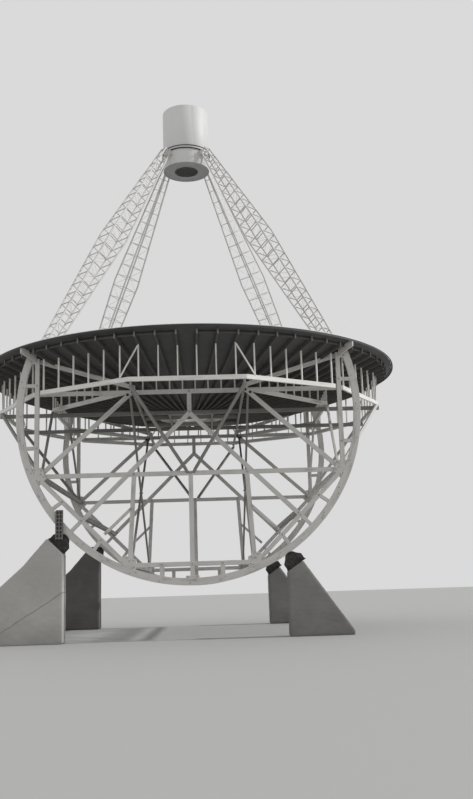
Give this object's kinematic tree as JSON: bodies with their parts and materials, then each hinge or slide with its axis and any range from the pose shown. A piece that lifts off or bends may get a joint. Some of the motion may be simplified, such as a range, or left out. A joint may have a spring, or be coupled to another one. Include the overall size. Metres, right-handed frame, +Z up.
{
  "type": "radio telescope dish",
  "caption": "Timber-framed parabolic radio dish on two open wheels that tilt over concrete piers, with a drum held at its focus.",
  "frame": {"origin": "on the ground under the middle of the dish", "axes": "+Z up along the dish's axis at rest, +Y along the tilt axis away from the camera, +X to the right"},
  "size_m": [9.5608, 9.5608, 12.8073],
  "materials": {
    "painted_timber": "matt",
    "bare_timber": "rough",
    "galvanised_sheet": "dull",
    "drum_sheet": "satin",
    "concrete": "rough",
    "dark_iron": "matt"
  },
  "bodies": {
    "piers": {"pier_near_left": "concrete", "truck_near_left": "dark_iron", "pier_near_right": "concrete", "truck_near_right": "dark_iron", "pier_far_left": "concrete", "truck_far_left": "dark_iron", "pier_far_right": "concrete", "truck_far_right": "dark_iron"},
    "tilting_dish": {"wheel_rim_near": "painted_timber", "wheel_truss_near": "painted_timber", "wheel_rim_far": "painted_timber", "wheel_truss_far": "painted_timber", "floor_beams": "painted_timber", "inner_ring_right": "painted_timber", "side_brace_right": "painted_timber", "sway_brace_right": "painted_timber", "foot_tie_right": "painted_timber", "inner_ring_left": "painted_timber", "side_brace_left": "painted_timber", "sway_brace_left": "painted_timber", "foot_tie_left": "painted_timber", "outer_ring_right": "painted_timber", "outer_ring_left": "painted_timber", "outer_ring_far": "painted_timber", "outer_ring_near": "painted_timber", "hub_ring": "painted_timber", "rafters_far_right": "bare_timber", "skin_far_right": "galvanised_sheet", "leg_far_right": "painted_timber", "rafters_far_left": "bare_timber", "skin_far_left": "galvanised_sheet", "leg_far_left": "painted_timber", "rafters_near_left": "bare_timber", "skin_near_left": "galvanised_sheet", "leg_near_left": "painted_timber", "rafters_near_right": "bare_timber", "skin_near_right": "galvanised_sheet", "leg_near_right": "painted_timber", "rim_band": "galvanised_sheet", "drum_shell": "drum_sheet", "drum_bottom": "drum_sheet", "drum_hoop": "drum_sheet", "drum_cap": "dark_iron"},
    "roller_near_left_body": {"roller_near_left": "dark_iron"},
    "roller_near_right_body": {"roller_near_right": "dark_iron"},
    "roller_far_left_body": {"roller_far_left": "dark_iron"},
    "roller_far_right_body": {"roller_far_right": "dark_iron"}
  },
  "joints": [
    {"name": "tilt", "type": "hinge", "parent": "piers", "child": "tilting_dish", "pos_m": [0, 0, 4.54], "axis": [0, 1, 0], "range_deg": [-48, 72]},
    {"name": "roller_near_left_spin", "type": "hinge", "parent": "piers", "child": "roller_near_left_body", "pos_m": [-2.55994, -3.06, 1.98006], "axis": [0, 1, 0], "continuous": true},
    {"name": "roller_near_right_spin", "type": "hinge", "parent": "piers", "child": "roller_near_right_body", "pos_m": [1.97176, -3.06, 1.50376], "axis": [0, 1, 0], "continuous": true},
    {"name": "roller_far_left_spin", "type": "hinge", "parent": "piers", "child": "roller_far_left_body", "pos_m": [-2.55994, 3.06, 1.98006], "axis": [0, 1, 0], "continuous": true},
    {"name": "roller_far_right_spin", "type": "hinge", "parent": "piers", "child": "roller_far_right_body", "pos_m": [1.97176, 3.06, 1.50376], "axis": [0, 1, 0], "continuous": true}
  ],
  "couplings": [
    {"joint": "roller_near_left_spin", "follows": "tilt", "ratio": -31.909},
    {"joint": "roller_near_right_spin", "follows": "tilt", "ratio": -31.909},
    {"joint": "roller_far_left_spin", "follows": "tilt", "ratio": -31.909},
    {"joint": "roller_far_right_spin", "follows": "tilt", "ratio": -31.909}
  ]
}
